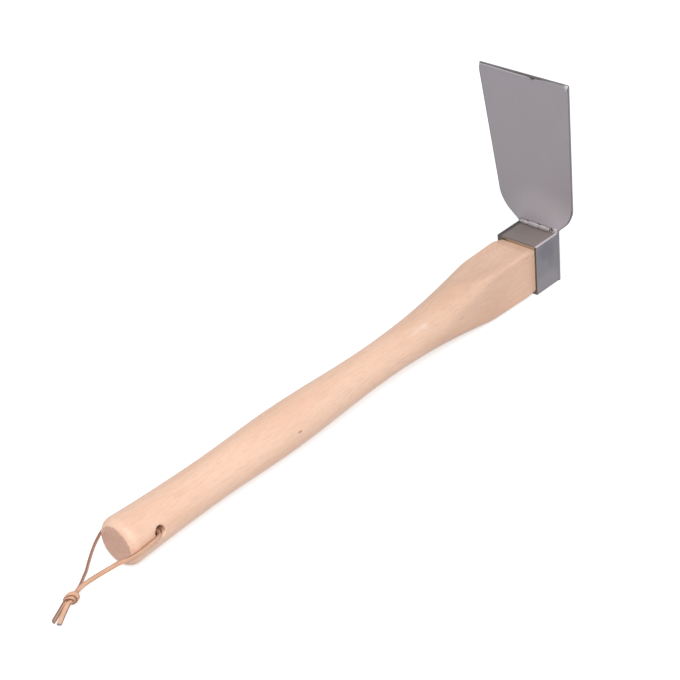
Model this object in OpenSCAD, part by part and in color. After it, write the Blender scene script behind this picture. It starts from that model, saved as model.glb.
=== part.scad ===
// Hand weeding hoe: a steel blade with a welded box socket, a turned wooden
// handle and a leather lace tied through the butt.
// X runs along the hoe with the head at +X, and Z is up. The hoe lies at rest on
// its socket and its butt, blade up. The origin is on the ground, below the
// middle of the hoe's length without its lace.

/* [Overall] */
// Length from the butt face to the back of the head
overall_l = 434; // [400:1:500]
// Thickness of the steel sheet that the whole head is made of
sheet_t = 2; // [1.5:0.1:2.5]

/* [Blade] */
// Height of the blade above the socket, measured along the blade
blade_h = 129.5; // [100:0.5:160]
// Width of the blade at its cutting edge
blade_tip_w = 79.5; // [68:0.5:110]
// Width between the blade's straight sides, carried down to the socket's top
blade_base_w = 63; // [56:1:90]
// Radius of the blade's round shoulders
shoulder_r = 24; // [16:1:26]
// Slope of the cut between a shoulder and the neck, from the blade's length
shoulder_angle = 47; // [40:1:60]
// Radius of the inside corner between that cut and the neck
neck_r = 3; // [1:0.5:5]
// Radius of the two corners of the cutting edge
tip_r = 2; // [1:0.5:8]
// Lean of the blade from square, towards the handle
blade_lean = 5.5; // [0:0.5:15]
// Height of the bevel ground on the handle side of the cutting edge
bevel_h = 2.5; // [1:0.5:8]
// Thickness left at the cutting edge
edge_t = 0.9; // [0.3:0.1:1.4]

/* [Socket] */
// Outer width of the socket
socket_w = 36; // [34:0.5:42]
// Outer height of the socket
socket_h = 40.5; // [38:0.5:48]
// Outer length of the socket along the handle
socket_l = 28; // [24:1:45]
// Inner radius of the strap's two bends under the socket
bend_r = 0.5; // [0.3:0.1:2]
// Outer radius of those bends, which are ground down after welding
ground_r = 1.2; // [0.8:0.1:2.5]
// Depth of the top plate below the upper edges of the side walls
plate_drop = 0.8; // [0.4:0.1:2]
// Gap between the top plate's sides and the walls
plate_gap = 0.1; // [0.05:0.05:0.4]

/* [Welds] */
// Number of weld runs in the corner between the blade and the top plate
run_count = 3; // [1:1:6]
// Radius of a weld run at its middle
run_r = 3.2; // [2:0.1:5]
// Depth of the dips between the weld runs
run_dip = 0.9; // [0.2:0.1:1.2]
// Depth of the ground weld along the seam between the strap and the end plate
seam_d = 0.8; // [0.4:0.1:1.2]

/* [Handle] */
// Width of the handle's square stock
stock_w = 32.5; // [31:0.1:34]
// Height of the handle's square stock
stock_h = 37.6; // [36:0.1:39]
// Radius of the stock's softened long edges
stock_r = 1.5; // [0.5:0.1:4]
// Length of full square stock that shows before the socket
square_l = 44; // [20:1:70]
// Length over which the stock is eased down to enter the socket
ease_l = 9; // [4:0.5:16]
// Gap between the handle and the socket at the sides and the top
fit_gap = 0.3; // [0.1:0.1:1]
// Gap between the handle's end and the end plate
end_gap = 0.8; // [0.5:0.1:3]
// Radius of the flat butt face
butt_face_r = 12.4; // [9:0.1:14]
// Radius of the butt behind its rounded edge
butt_r = 17; // [15:0.1:19]
// Length of the butt's rounded edge
butt_edge_l = 6.5; // [5:0.5:12]
// Radius of the grip at its thin place near the butt
grip_r = 15.2; // [13:0.1:16.5]
// Distance from the butt to that thin place
grip_at = 84; // [60:1:100]
// Radius of the palm swell
swell_r = 16.4; // [14:0.1:17]
// Distance from the butt to the palm swell
swell_at = 146; // [120:1:180]
// Radius of the waist
waist_r = 13.7; // [11:0.1:15]
// Distance from the butt to the waist
waist_at = 246; // [215:1:260]

/* [Lace] */
// Diameter of the cross hole for the lace
hole_d = 8; // [6:0.5:10]
// Distance of that hole from the butt
hole_at = 24; // [20:0.5:35]
// Turn of the hole about the handle's length, near end up
hole_turn = 9; // [-10:1:10]
// Depth of the softened rims of the hole
rim_h = 0.6; // [0.2:0.1:1]
// Width of the lace
lace_w = 3.1; // [2:0.1:3.5]
// Thickness of the lace
lace_t = 1.8; // [1:0.1:2.2]
// Greatest radius of the knot
knot_r = 4.5; // [3.5:0.1:5]
// Length of the knot
knot_l = 10; // [7:0.1:12]

/* [Screw] */
// Diameter of the retaining screw's shank
screw_d = 3.5; // [3:0.5:4]
// Length of the screw
screw_l = 20; // [14:1:26]
// Diameter of the screw's countersunk head
screw_head_d = 7; // [6:0.5:8]
// Width of a slot of the screw's cross recess
recess_w = 1; // [0.6:0.1:1.2]
// Length of a slot of the screw's cross recess
recess_l = 4; // [3:0.1:5]
// Depth of the cross recess
recess_h = 1.4; // [0.8:0.1:1.6]
// Gap around the screw in the strap and in the wood
screw_gap = 0.05; // [0.02:0.01:0.2]
// Depth of the screw's head below the socket's underside
screw_sink = 0.1; // [0.05:0.05:0.3]

/* [Hidden] */
$fn = 96;
// How far a cutting solid reaches past what it cuts
past = 10;

// Places along X
back_x = overall_l / 2;
butt_x = -overall_l / 2;
mouth_x = back_x - socket_l;
plate_x = back_x - sheet_t;
tenon_x = plate_x - end_gap;
ease_x = mouth_x - ease_l;
waist_x = butt_x + waist_at;
// The square stock's outlines begin a little before the waist, inside the grip's room
stock_from = waist_x - past;

// The inside of the socket
room_w = socket_w - 2 * sheet_t;
plate_top = socket_h - plate_drop;
tenon_w = room_w - 2 * fit_gap;
tenon_top = plate_top - sheet_t - fit_gap;

// The stock stands on the socket's floor. The turned shape's axis runs from the
// stock's middle at the mouth down to the butt, which touches the ground.
stock_z = sheet_t + stock_h / 2;
slope = atan((stock_z - butt_r) / (mouth_x - butt_x - butt_edge_l));
butt_z = butt_r - butt_edge_l * tan(slope);
turned_l = (tenon_x - butt_x) / cos(slope) + past;

// The flare grows with the square of the distance from the waist, and passes the
// stock's corners where the full square begins
corner_r = norm([stock_w / 2, stock_h / 2]) - (sqrt(2) - 1) * stock_r;
flare_end = mouth_x - square_l - butt_x;
flare_rate = (corner_r - waist_r) / pow(flare_end - waist_at, 2);

// Radius of the butt's rounded edge, which is tangent to the grip
edge_fall = butt_r - butt_face_r;
edge_arc_r = (pow(butt_edge_l, 2) + pow(edge_fall, 2)) / (2 * edge_fall);

// The cross hole's middle
hole_x = butt_x + hole_at * cos(slope);
hole_z = butt_z + hole_at * sin(slope);

// The screw
screw_x = (mouth_x + plate_x) / 2;
head_h = (screw_head_d - screw_d) / 2;
tip_h = screw_d;

// The height that the sheet's front face loses at the bend below the blade
bend_drop = sheet_t * tan(blade_lean / 2);

// Steps of the curved outlines
edge_steps = 8;
grip_steps = 10;
flare_steps = 16;
run_steps = 8;
knot_steps = 16;

// Routes of the lace's free stretches, as points from the foot of the butt face
near_route = [
    [23.8, -12.5, 18.9], [23.4, -14.6, 18.9], [22.2, -16.5, 18.9], [20.3, -17.7, 18.8],
    [18.2, -18.1, 18.6], [12.6, -18.1, 18.1], [6.6, -18.1, 17.5], [0.7, -17.2, 16.6],
    [-4.2, -15.6, 15.8], [-10, -13.1, 15.3], [-16.8, -11, 14.2], [-22.7, -9.5, 13.4],
    [-27.7, -8.2, 12.5], [-32.8, -6.7, 11.2], [-36.8, -5.6, 9.6], [-40.3, -4.8, 7.2]
];
far_route = [
    [23.7, 12.5, 15.8], [23.3, 14.6, 15.6], [22.1, 16.5, 15.5], [20.2, 17.7, 15.6],
    [18.1, 18.1, 15.9], [12.4, 18.2, 16.5], [6.4, 18.2, 16.9], [3.4, 17.6, 16.7], [0.5, 16.5, 16.1],
    [-5.2, 13.9, 15], [-11.4, 10.9, 12.7], [-17.5, 7.6, 10], [-21.7, 4.9, 8.7], [-25.8, 2.7, 8],
    [-31, 0, 7], [-35.2, -1.7, 6.4], [-39.3, -2.4, 5.8]
];
near_tail_route = [[-45.4, -4.3, 3.7], [-51.9, -7.5, 2.6], [-61, -12.8, 1.6]];
far_tail_route = [[-45.4, -1.9, 4.2], [-52.9, -4.7, 2.8], [-61.6, -8.3, 1.8]];
knot_middle = [-42.4, -3.6, 5.2];
// Turns of the knot's length about Y and then about Z
knot_turn = [0, 84, 5];

// Half of the blade's outline, as points [across, along] from the neck to the
// cutting edge. The neck is as wide as the socket.
neck_u = socket_w / 2;
neck_c = [neck_u + neck_r, 0];
side_lean = atan((blade_tip_w - blade_base_w) / 2 / blade_h);
function side_u(v) = blade_base_w / 2 + v * tan(side_lean);

// The shoulder's centre lies shoulder_r inside both the straight side and the cut,
// which passes where it would meet the neck's side
cut_out = [cos(shoulder_angle), -sin(shoulder_angle)];
side_out = [cos(side_lean), -sin(side_lean)];
cut_reach = cut_out * [neck_u, neck_r * tan(shoulder_angle / 2)] - shoulder_r;
side_reach = side_out * [blade_base_w / 2, 0] - shoulder_r;
outline_det = side_out[0] * cut_out[1] - side_out[1] * cut_out[0];
shoulder_c = [
    (side_reach * cut_out[1] - cut_reach * side_out[1]) / outline_det,
    (side_out[0] * cut_reach - cut_out[0] * side_reach) / outline_det
];
tip_c = [side_u(blade_h - tip_r) - tip_r / cos(side_lean), blade_h - tip_r];

// Points of an arc about a centre, from one direction to another
function arc(c, r, from, to, n) = [
    for (i = [0:n]) c + r * [cos(from + (to - from) * i / n), sin(from + (to - from) * i / n)]
];

function blade_half() = concat(
    [[neck_u, -socket_h - past]],
    arc(neck_c, neck_r, 180, 180 - shoulder_angle, 6),
    arc(shoulder_c, shoulder_r, -shoulder_angle, -side_lean, 16),
    arc(tip_c, tip_r, -side_lean, 90, 8)
);

// A point of the leaning blade's side view, behind its back face and above the bend
function leaned(behind, up) = [
    back_x + behind * cos(blade_lean) - up * sin(blade_lean),
    socket_h + behind * sin(blade_lean) + up * cos(blade_lean)
];

// Radii of the turned handle at a distance from the butt
function edge_radius(s) = butt_r - edge_arc_r + sqrt(pow(edge_arc_r, 2) - pow(butt_edge_l - s, 2));
function grip_radius(s) = grip_r + (butt_r - grip_r) * pow((grip_at - s) / (grip_at - butt_edge_l), 2);
function wave_radius(s, from, to, r_from, r_to) =
    r_from + (r_to - r_from) * (1 - cos(180 * (s - from) / (to - from))) / 2;
function flare_radius(s) = waist_r + flare_rate * pow(s - waist_at, 2);
function span(from, to, n) = [for (i = [1:n]) from + (to - from) * i / n];

turned_profile = concat(
    [[0, 0], [butt_face_r, 0]],
    [for (s = span(0, butt_edge_l, edge_steps)) [edge_radius(s), s]],
    [for (s = span(butt_edge_l, grip_at, grip_steps)) [grip_radius(s), s]],
    [for (s = span(grip_at, swell_at, grip_steps)) [wave_radius(s, grip_at, swell_at, grip_r, swell_r), s]],
    [for (s = span(swell_at, waist_at, grip_steps)) [wave_radius(s, swell_at, waist_at, swell_r, waist_r), s]],
    [for (s = span(waist_at, flare_end + past, flare_steps)) [flare_radius(s), s]],
    [[flare_radius(flare_end + past), turned_l], [0, turned_l]]
);

// A rectangle with round corners, centred
module round_rect(w, h, r) {
    square([w - 2 * r, h], center = true);
    square([w, h - 2 * r], center = true);
    for (y = [-1, 1], z = [-1, 1]) translate([y * (w / 2 - r), z * (h / 2 - r)]) circle(r);
}

// Extrudes a shape drawn in YZ between two places along X
module along_x(from, to) {
    translate([from, 0, 0]) rotate([90, 0, 90]) linear_extrude(to - from) children();
}

// Extrudes a shape drawn in XZ to both sides of the middle
module across_y(w) {
    translate([0, w / 2, 0]) rotate([90, 0, 0]) linear_extrude(w) children();
}

// The turned shape, before it is trimmed to the square stock
module turned() {
    translate([butt_x, 0, butt_z]) rotate([0, 90 - slope, 0]) rotate_extrude() polygon(turned_profile);
}

// The square stock with its softened edges, to the handle's end
module stock() {
    translate([0, 0, stock_z]) along_x(stock_from, tenon_x) round_rect(stock_w, stock_h, stock_r);
}

// The stock's outline from above, eased in at the sides to enter the socket
module eased_sides() {
    linear_extrude(socket_h + past) polygon([
        [stock_from, -stock_w / 2], [ease_x, -stock_w / 2], [mouth_x, -tenon_w / 2],
        [tenon_x, -tenon_w / 2], [tenon_x, tenon_w / 2], [mouth_x, tenon_w / 2],
        [ease_x, stock_w / 2], [stock_from, stock_w / 2]
    ]);
}

// The stock's outline from the side, eased down at the top to enter the socket
module eased_top() {
    across_y(socket_w) polygon([
        [stock_from, 0], [tenon_x, 0], [tenon_x, tenon_top], [mouth_x, tenon_top],
        [ease_x, sheet_t + stock_h], [stock_from, sheet_t + stock_h]
    ]);
}

// Room for the whole turned shape between the butt and the waist
module turned_room() {
    translate([butt_x - past, -butt_r - past, -past])
        cube([waist_x - butt_x + past, 2 * (butt_r + past), 2 * (butt_r + past) + past]);
}

// The cross hole for the lace, with its softened rims
module cross_hole() {
    reach = butt_r + past;
    rim_from = grip_radius(hole_at) - rim_h;
    translate([hole_x, 0, hole_z]) rotate([90 - hole_turn, 0, 0]) {
        cylinder(h = 2 * reach, d = hole_d, center = true);
        for (side = [0, 180]) rotate([side, 0, 0]) translate([0, 0, rim_from])
            cylinder(h = past, r1 = hole_d / 2, r2 = hole_d / 2 + past);
    }
}

// The pilot hole in the handle, which the screw fills
module pilot_hole() {
    translate([screw_x, 0, 0]) cylinder(h = screw_l + screw_gap, d = screw_d + 2 * screw_gap);
}

module handle() {
    color("#edc9a6") difference() {
        intersection() {
            turned();
            union() {
                turned_room();
                intersection() {
                    stock();
                    eased_sides();
                    eased_top();
                }
            }
        }
        cross_hole();
        pilot_hole();
    }
}

// The sheet's flat outline, standing in YZ with the bend at Z = 0. Its neck runs on
// down past the end plate.
module blade_outline() {
    half = blade_half();
    polygon(concat(half, [for (i = [len(half) - 1:-1:0]) [-half[i][0], half[i][1]]]));
}

// The bent sheet's section: the end plate, the leaning blade and its ground bevel
module sheet_section() {
    polygon([
        [back_x, 0], [plate_x, 0], [plate_x, socket_h - bend_drop],
        leaned(-sheet_t, blade_h - bevel_h), leaned(-edge_t, blade_h), leaned(-edge_t, blade_h + past),
        leaned(0, blade_h + past), [back_x, socket_h]
    ]);
}

module blade() {
    color("#9b979b") intersection() {
        across_y(blade_tip_w + past) sheet_section();
        translate([back_x, 0, socket_h]) rotate([0, -blade_lean, 0])
            along_x(-socket_h, past) blade_outline();
    }
}

// Section of the socket's outside, sunk by a depth on every side but the top
module outer_section(depth) {
    w = socket_w - 2 * depth;
    r = ground_r - (ground_r - bend_r) * depth / sheet_t;
    translate([-w / 2, depth + r]) square([w, socket_h + past]);
    translate([-w / 2 + r, depth]) square([w - 2 * r, 2 * r]);
    for (side = [-1, 1]) translate([side * (w / 2 - r), depth + r]) circle(r);
}

// The groove along the strap's outer end edge that the ground weld fills
module seam_groove(to) {
    difference() {
        along_x(plate_x - seam_d, to) outer_section(0);
        along_x(plate_x - seam_d - past, to + past) outer_section(seam_d);
    }
}

module strap_weld() {
    color("#8f8d90") intersection() {
        seam_groove(plate_x);
        translate([mouth_x, -socket_w, 0]) cube([socket_l, 2 * socket_w, socket_h]);
    }
}

module socket_strap() {
    color("#8b8a91") difference() {
        intersection() {
            along_x(mouth_x, plate_x) outer_section(0);
            translate([mouth_x, -socket_w, 0]) cube([socket_l, 2 * socket_w, socket_h]);
        }
        along_x(mouth_x - past, back_x) outer_section(sheet_t);
        seam_groove(plate_x + past);
        translate([screw_x, 0, screw_sink])
            cylinder(h = head_h, d1 = screw_head_d + 2 * screw_gap, d2 = screw_d + 2 * screw_gap);
        translate([screw_x, 0, -past]) cylinder(h = past + sheet_t + past, d = screw_d + 2 * screw_gap);
        translate([screw_x, 0, -past]) cylinder(h = past + screw_sink, d = screw_head_d + 2 * screw_gap);
    }
}

module socket_top_plate() {
    w = room_w - 2 * plate_gap;
    color("#7e7570") translate([mouth_x, -w / 2, plate_top - sheet_t])
        cube([plate_x - mouth_x, w, sheet_t]);
}

// Radius of the row of weld runs, by the count of runs passed
function run_radius(n) = run_r - run_dip * (1 - abs(sin(180 * n)));

// The corner above the top plate and in front of the bent sheet, seen from the side
module corner_section() {
    rise = plate_drop - bend_drop;
    top = run_r + past;
    polygon([[0, 0], [0, rise], [-(top - rise) * tan(blade_lean), top], [-top, top], [-top, 0]]);
}

module corner_weld() {
    run_l = room_w / run_count;
    color("#a8a2a2") translate([plate_x, 0, plate_top]) intersection() {
        translate([0, -room_w / 2, 0]) rotate([-90, 0, 0]) rotate_extrude() polygon(concat(
            [[0, 0]],
            [for (i = [0:run_count * run_steps]) [run_radius(i / run_steps), i * run_l / run_steps]],
            [[0, room_w]]
        ));
        across_y(room_w + past) corner_section();
    }
}

module retaining_screw() {
    shank_h = screw_l - screw_sink - tip_h;
    color("#b9b9bb") translate([screw_x, 0, screw_sink]) difference() {
        union() {
            cylinder(h = head_h, d1 = screw_head_d, d2 = screw_d);
            cylinder(h = shank_h, d = screw_d);
            translate([0, 0, shank_h]) cylinder(h = tip_h, d1 = screw_d, d2 = 0);
        }
        for (turn = [0, 90]) rotate([0, 0, turn]) translate([-recess_l / 2, -recess_w / 2, -past])
            cube([recess_l, recess_w, past + recess_h]);
    }
}

// Eight corners of the lace's section
lace_ring = [
    [lace_w / 2, lace_t / 4], [lace_w / 4, lace_t / 2], [-lace_w / 4, lace_t / 2], [-lace_w / 2, lace_t / 4],
    [-lace_w / 2, -lace_t / 4], [-lace_w / 4, -lace_t / 2], [lace_w / 4, -lace_t / 2], [lace_w / 2, -lace_t / 4]
];

function unit(v) = v / norm(v);
function heading(route, i) = unit(route[min(i + 1, len(route) - 1)] - route[max(i - 1, 0)]);
// Direction of the lace in the hole, from the near side to the far side
hole_way = unit(far_route[0] - near_route[0]);

// Sweeps the lace's section along a route. The lace's width lies along across, and
// the first ring stands square to start.
module lace_sweep(route, across, start) {
    sides = len(lace_ring);
    last = len(route) - 1;
    points = [
        for (i = [0:last]) let (
            way = i == 0 ? start : heading(route, i),
            flat = unit(cross(way, across)),
            wide = cross(flat, way)
        ) for (p = lace_ring) route[i] + p[0] * wide + p[1] * flat
    ];
    walls = [
        for (i = [0:last - 1], j = [0:sides - 1]) let (
            a = i * sides + j,
            b = i * sides + (j + 1) % sides
        ) each [[a, b + sides, b], [a, a + sides, b + sides]]
    ];
    caps = [for (j = [1:sides - 2]) each [[0, j, j + 1], [last * sides, last * sides + j + 1, last * sides + j]]];
    color("#dba888") translate([butt_x, 0, 0]) polyhedron(points, concat(walls, caps));
}

module lace_in_hole() {
    lace_sweep([near_route[0], far_route[0]], [0, 0, 1], hole_way);
}

module lace_near_leg() {
    lace_sweep(near_route, [0, 0, 1], -hole_way);
}

module lace_far_leg() {
    lace_sweep(far_route, [0, 0, 1], hole_way);
}

module lace_near_tail() {
    lace_sweep(near_tail_route, [0, 1, 0], heading(near_tail_route, 0));
}

module lace_far_tail() {
    lace_sweep(far_tail_route, [0, 0, 1], heading(far_tail_route, 0));
}

module lace_knot() {
    color("#dba888") translate([butt_x, 0, 0] + knot_middle) rotate(knot_turn) rotate_extrude()
        polygon([for (i = [0:knot_steps]) [
            knot_r * sin(180 * i / knot_steps), -knot_l / 2 * cos(180 * i / knot_steps)
        ]]);
}

handle();
blade();
socket_strap();
socket_top_plate();
corner_weld();
strap_weld();
retaining_screw();
lace_in_hole();
lace_near_leg();
lace_far_leg();
lace_knot();
lace_near_tail();
lace_far_tail();
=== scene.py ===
"""Hand weeding hoe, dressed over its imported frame.

The hoe lies on a pale floor on its socket and its butt, blade up. Lengths in the
classes below are in millimetres, as in the part's source, and meshes are in metres.
"""

import logging
import math
from contextlib import contextmanager
from dataclasses import dataclass, field
from enum import Enum
from functools import cached_property
from typing import Any, Callable, Iterator, Sequence

import bmesh
import bpy
from mathutils import Matrix, Vector


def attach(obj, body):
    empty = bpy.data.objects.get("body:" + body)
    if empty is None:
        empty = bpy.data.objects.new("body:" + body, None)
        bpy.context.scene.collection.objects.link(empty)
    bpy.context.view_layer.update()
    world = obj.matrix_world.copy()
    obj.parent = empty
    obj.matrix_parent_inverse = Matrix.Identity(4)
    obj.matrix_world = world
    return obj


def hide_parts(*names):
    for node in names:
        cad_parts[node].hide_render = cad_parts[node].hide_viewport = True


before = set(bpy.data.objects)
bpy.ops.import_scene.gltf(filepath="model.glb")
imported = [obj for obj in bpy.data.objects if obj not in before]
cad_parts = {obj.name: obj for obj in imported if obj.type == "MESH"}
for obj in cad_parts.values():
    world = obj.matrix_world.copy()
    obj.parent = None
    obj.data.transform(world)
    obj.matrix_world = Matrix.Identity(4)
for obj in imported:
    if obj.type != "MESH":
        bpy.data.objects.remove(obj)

log = logging.getLogger("hoe")

MM = 0.001
BODY = "root"
UP = Vector((0, 0, 1))
# From which part on a unit vector counts as lying along an axis
ALONG = 0.9

Point = tuple[float, float, float]
Colour = tuple[float, float, float]
Span = tuple[float, float]
Floats = Sequence[float]
Object = bpy.types.Object
Material = bpy.types.Material
Face = bpy.types.MeshPolygon
Socket = bpy.types.NodeSocket


def mm(point: Floats) -> Vector:
    """Turn a point in millimetres into one in metres."""
    return Vector(point) * MM


def share_of(value: float, low: float, high: float) -> float:
    """How far a value is from low to high, held between 0 and 1."""
    return min(1.0, max(0.0, (value - low) / (high - low)))


def smooth_between(a: float, b: float, t: float) -> float:
    """Blend from a to b along half a cosine wave, for t from 0 to 1."""
    return a + (b - a) * (1 - math.cos(math.pi * t)) / 2


def select(*objects: Object) -> None:
    """Leave edit mode and select these objects alone, with the first of them active.

    Args:
        objects: The objects. Without any, nothing stays selected.
    """
    if bpy.context.object and bpy.context.object.mode != "OBJECT":
        bpy.ops.object.mode_set(mode="OBJECT")
    bpy.ops.object.select_all(action="DESELECT")
    for obj in objects:
        obj.select_set(True)
        bpy.context.view_layer.objects.active = objects[0]


# Modelling tools


class Part(Enum):
    """What is picked in edit mode."""

    VERT = "VERT"
    EDGE = "EDGE"
    FACE = "FACE"


class Workpiece:
    """One mesh that is shaped in edit mode with Blender's own operators."""

    DOUBLE = 1e-6
    ROUND_STEPS = 3

    def __init__(self, name: str, obj: Object) -> None:
        """Take over a fresh primitive.

        Args:
            name: Name of the piece in the scene.
            obj: The primitive, at its size and place.
        """
        obj.name = name
        obj.data.name = name
        self.obj = obj
        self.part = Part.FACE

    @classmethod
    def fresh(cls, name: str, scale: Floats = (1, 1, 1)) -> "Workpiece":
        """Scale the primitive that was added last, and take it over.

        Args:
            name: Name of the piece.
            scale: Factors along X, Y and Z.

        Returns:
            The primitive as a workpiece.
        """
        bpy.context.object.scale = scale
        bpy.ops.object.transform_apply(location=True, rotation=True, scale=True)
        return cls(name, bpy.context.object)

    @classmethod
    def block(cls, name: str, low: Floats, high: Floats) -> "Workpiece":
        """Add a cube between two corners.

        Args:
            name: Name of the piece.
            low: Lowest corner in millimetres.
            high: Highest corner in millimetres.

        Returns:
            The block as a workpiece.
        """
        select()
        bpy.ops.mesh.primitive_cube_add(size=1, location=(mm(low) + mm(high)) / 2)
        return cls.fresh(name, mm(high) - mm(low))

    @classmethod
    def disc(cls, name: str, centre: Floats, radius: float, turn: Floats, sides: int) -> "Workpiece":
        """Add a filled circle.

        Args:
            name: Name of the piece.
            centre: Its middle in millimetres.
            radius: Its radius in millimetres.
            turn: Its rotation about X, Y and Z in degrees.
            sides: Number of its edges.

        Returns:
            The disc as a workpiece.
        """
        select()
        bpy.ops.mesh.primitive_circle_add(
            vertices=sides, radius=radius * MM, fill_type="NGON", location=mm(centre),
            rotation=[math.radians(a) for a in turn],
        )
        return cls.fresh(name)

    @classmethod
    def ball(cls, name: str, centre: Floats, radii: Floats, rings: int) -> "Workpiece":
        """Add a sphere that is drawn out to three radii.

        Args:
            name: Name of the piece.
            centre: Its middle in millimetres.
            radii: Its radii along X, Y and Z in millimetres.
            rings: Number of its rings; it has twice as many segments.

        Returns:
            The ball as a workpiece.
        """
        select()
        bpy.ops.mesh.primitive_uv_sphere_add(segments=2 * rings, ring_count=rings, radius=1, location=mm(centre))
        return cls.fresh(name, mm(radii))

    @contextmanager
    def editing(self, part: Part = Part.FACE) -> Iterator["Workpiece"]:
        """Keep the piece in edit mode with nothing selected at first.

        Args:
            part: What pick selects.

        Yields:
            The workpiece.
        """
        select(self.obj)
        self.part = part
        bpy.ops.object.mode_set(mode="EDIT")
        bpy.ops.mesh.select_mode(type=part.value)
        bpy.ops.mesh.select_all(action="DESELECT")
        try:
            yield self
        finally:
            bpy.ops.object.mode_set(mode="OBJECT")

    def pick(self, test: Callable[[Vector, Vector], bool]) -> None:
        """Select the faces, edges or vertices that pass a test, and no others.

        Args:
            test: Takes the middle in millimetres, and the normal or an edge's unit direction.
        """
        mesh = bmesh.from_edit_mesh(self.obj.data)
        for item in (*mesh.verts, *mesh.edges, *mesh.faces):
            item.select = False
        if self.part is Part.FACE:
            found = [(face, face.calc_center_median(), face.normal) for face in mesh.faces]
        elif self.part is Part.EDGE:
            ends = [(edge, edge.verts[0].co, edge.verts[1].co) for edge in mesh.edges]
            found = [(edge, (a + b) / 2, (b - a).normalized()) for edge, a, b in ends]
        else:
            found = [(vert, vert.co, vert.normal) for vert in mesh.verts]
        for item, middle, way in found:
            if test(middle / MM, way):
                item.select = True
        mesh.select_flush_mode()
        bmesh.update_edit_mesh(self.obj.data)

    def pick_all(self) -> None:
        """Select the whole mesh."""
        bpy.ops.mesh.select_all(action="SELECT")

    def extrude(self, move: Floats) -> None:
        """Extrude the selected faces by a move in millimetres."""
        bpy.ops.mesh.extrude_region_move(TRANSFORM_OT_translate={"value": mm(move)})

    def resize(self, factors: Floats, centre: Floats) -> None:
        """Scale what is selected about a centre in millimetres."""
        bpy.ops.transform.resize(value=factors, center_override=mm(centre))

    def move(self, by: Floats) -> None:
        """Move what is selected by a vector in millimetres."""
        bpy.ops.transform.translate(value=mm(by))

    def bevel(self, offset: float, segments: int) -> None:
        """Round the selected edges, from an offset in millimetres, with so many faces across."""
        bpy.ops.mesh.bevel(offset=offset * MM, segments=segments, profile=0.5, clamp_overlap=True)

    def slice_off(self, point: Floats, outward: Floats) -> None:
        """Cut the piece at a plane and close it, leaving out what lies outward.

        Args:
            point: A point of the plane, in millimetres.
            outward: The plane's normal, towards what is cut off.
        """
        self.pick_all()
        normal = Vector(outward).normalized()
        bpy.ops.mesh.bisect(plane_co=mm(point), plane_no=normal, clear_outer=True, use_fill=True)

    def apply(self, kind: str, **settings: Any) -> "Workpiece":
        """Add a modifier and apply it.

        Args:
            kind: The modifier's type.
            settings: Its settings by name.

        Returns:
            The workpiece.
        """
        select(self.obj)
        modifier = self.obj.modifiers.new(kind.title(), kind)
        for key, value in settings.items():
            setattr(modifier, key, value)
        bpy.ops.object.modifier_apply(modifier=modifier.name)
        return self

    def soften(self, width: float, angle: float) -> "Workpiece":
        """Round every edge that is sharper than an angle.

        Args:
            width: Width of the round in millimetres.
            angle: The angle in degrees.

        Returns:
            The workpiece.
        """
        limit = math.radians(angle)
        return self.apply(
            "BEVEL", width=width * MM, segments=self.ROUND_STEPS, limit_method="ANGLE", angle_limit=limit,
        )

    def cut(self, tool: "Workpiece", operation: str) -> "Workpiece":
        """Combine the piece with another one, which is used up.

        Args:
            tool: The other piece.
            operation: INTERSECT, DIFFERENCE or UNION.

        Returns:
            The workpiece.
        """
        self.apply("BOOLEAN", object=tool.obj, operation=operation, solver="EXACT")
        bpy.data.objects.remove(tool.obj)
        return self

    def outward(self) -> "Workpiece":
        """Merge doubles and turn every face outward.

        Returns:
            The workpiece.
        """
        with self.editing():
            self.pick_all()
            bpy.ops.mesh.remove_doubles(threshold=self.DOUBLE)
            bpy.ops.mesh.normals_make_consistent(inside=False)
        return self

    def shade(self, angle: float) -> "Workpiece":
        """Smooth the shading except at sharp edges.

        Args:
            angle: From how many degrees an edge is sharp.

        Returns:
            The workpiece.
        """
        select(self.obj)
        bpy.ops.object.shade_smooth_by_angle(angle=math.radians(angle))
        return self

    def turn(self, degrees: float, axis: str, pivot: Floats) -> "Workpiece":
        """Turn the whole mesh about an axis through a pivot in millimetres.

        Args:
            degrees: Angle by the right-hand rule.
            axis: X, Y or Z.
            pivot: A point of the axis.

        Returns:
            The workpiece.
        """
        place = Matrix.Translation(mm(pivot))
        self.obj.data.transform(place @ Matrix.Rotation(math.radians(degrees), 4, axis) @ place.inverted())
        return self


# Shading tools


RISING: Span = (0.0, 1.0)
FALLING: Span = (1.0, 0.0)
# Nearly all of a noise lies in this range
MOST: Span = (0.2, 0.8)


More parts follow.
